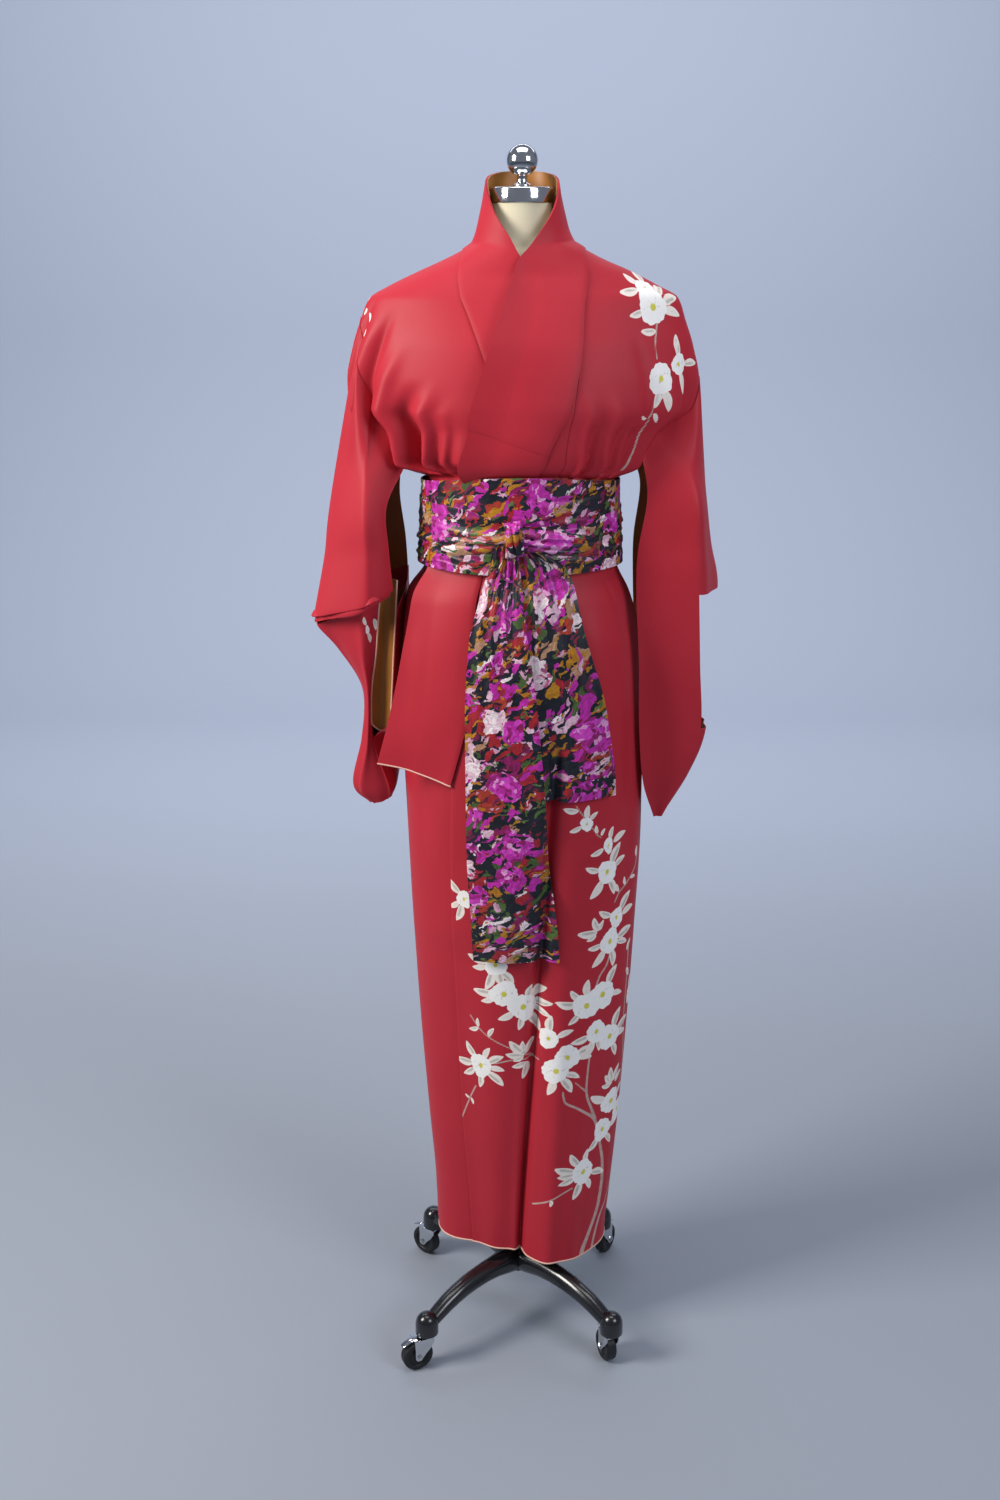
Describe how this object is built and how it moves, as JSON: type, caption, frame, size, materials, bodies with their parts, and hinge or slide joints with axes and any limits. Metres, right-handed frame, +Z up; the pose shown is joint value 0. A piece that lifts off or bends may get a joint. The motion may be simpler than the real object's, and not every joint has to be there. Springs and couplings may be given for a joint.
{
  "type": "kimono robe on a limbless dress form with a caster stand",
  "caption": "Long red silk kimono with a white blossom pattern and a soft printed sash, worn on a limbless dress form on a caster base.",
  "frame": {"origin": "on the floor, under the middle of the part's box", "axes": "+Z up, -Y the front of the robe, +X the wearer's left"},
  "size_m": [0.5736, 0.3448, 1.764],
  "materials": {
    "kimono_silk": "satin",
    "gold_lining": "satin",
    "pale_edging": "satin",
    "sash_silk": "satin",
    "form_jersey": "matte",
    "black_enamel": "gloss",
    "chrome": "polished",
    "wheel_rubber": "satin"
  },
  "bodies": {
    "stand": {"body_left": "kimono_silk", "body_right": "kimono_silk", "okumi_left": "kimono_silk", "okumi_right": "kimono_silk", "hem_edge_left": "pale_edging", "hem_edge_right": "pale_edging", "collar": "kimono_silk", "over_collar": "kimono_silk", "collar_lining": "gold_lining", "sleeve_left": "kimono_silk", "sleeve_right": "kimono_silk", "sleeve_lining_left": "gold_lining", "sleeve_lining_right": "gold_lining", "sash_wrap_inner": "sash_silk", "sash_wrap_outer": "sash_silk", "sash_tail_short": "sash_silk", "sash_tail_long": "sash_silk", "sash_knot": "sash_silk", "form_torso": "form_jersey", "neck_cap": "chrome", "finial_stem": "chrome", "finial_ball": "chrome", "pole": "chrome", "base_hub": "black_enamel", "leg_front_right": "black_enamel", "caster_cap_front_right": "black_enamel", "leg_front_left": "black_enamel", "caster_cap_front_left": "black_enamel", "leg_back_right": "black_enamel", "caster_cap_back_right": "black_enamel", "leg_back_left": "black_enamel", "caster_cap_back_left": "black_enamel"},
    "caster_front_right": {"fork_front_right": "chrome", "brake_lever_front_right": "chrome"},
    "roller_front_right": {"wheel_front_right": "wheel_rubber"},
    "caster_front_left": {"fork_front_left": "chrome", "brake_lever_front_left": "chrome"},
    "roller_front_left": {"wheel_front_left": "wheel_rubber"},
    "caster_back_right": {"fork_back_right": "chrome", "brake_lever_back_right": "chrome"},
    "roller_back_right": {"wheel_back_right": "wheel_rubber"},
    "caster_back_left": {"fork_back_left": "chrome", "brake_lever_back_left": "chrome"},
    "roller_back_left": {"wheel_back_left": "wheel_rubber"}
  },
  "joints": [
    {"name": "swivel_front_right", "type": "hinge", "parent": "stand", "child": "caster_front_right", "pos_m": [-0.13452, -0.14736, 0.055], "axis": [0, 0, 1], "continuous": true},
    {"name": "spin_front_right", "type": "hinge", "parent": "caster_front_right", "child": "roller_front_right", "pos_m": [-0.14993, -0.15455, 0.024], "axis": [0.4226, -0.9063, 0], "continuous": true},
    {"name": "swivel_front_left", "type": "hinge", "parent": "stand", "child": "caster_front_left", "pos_m": [0.14548, -0.14736, 0.055], "axis": [0, 0, 1], "continuous": true},
    {"name": "spin_front_left", "type": "hinge", "parent": "caster_front_left", "child": "roller_front_left", "pos_m": [0.13966, -0.13139, 0.024], "axis": [-0.9397, -0.342, 0], "continuous": true},
    {"name": "swivel_back_right", "type": "hinge", "parent": "stand", "child": "caster_back_right", "pos_m": [-0.13452, 0.13264, 0.055], "axis": [0, 0, 1], "continuous": true},
    {"name": "spin_back_right", "type": "hinge", "parent": "caster_back_right", "child": "roller_back_right", "pos_m": [-0.14755, 0.14356, 0.024], "axis": [-0.6428, -0.766, 0], "continuous": true},
    {"name": "swivel_back_left", "type": "hinge", "parent": "stand", "child": "caster_back_left", "pos_m": [0.14548, 0.13264, 0.055], "axis": [0, 0, 1], "continuous": true},
    {"name": "spin_back_left", "type": "hinge", "parent": "caster_back_left", "child": "roller_back_left", "pos_m": [0.15398, 0.14736, 0.024], "axis": [-0.866, 0.5, 0], "continuous": true}
  ]
}
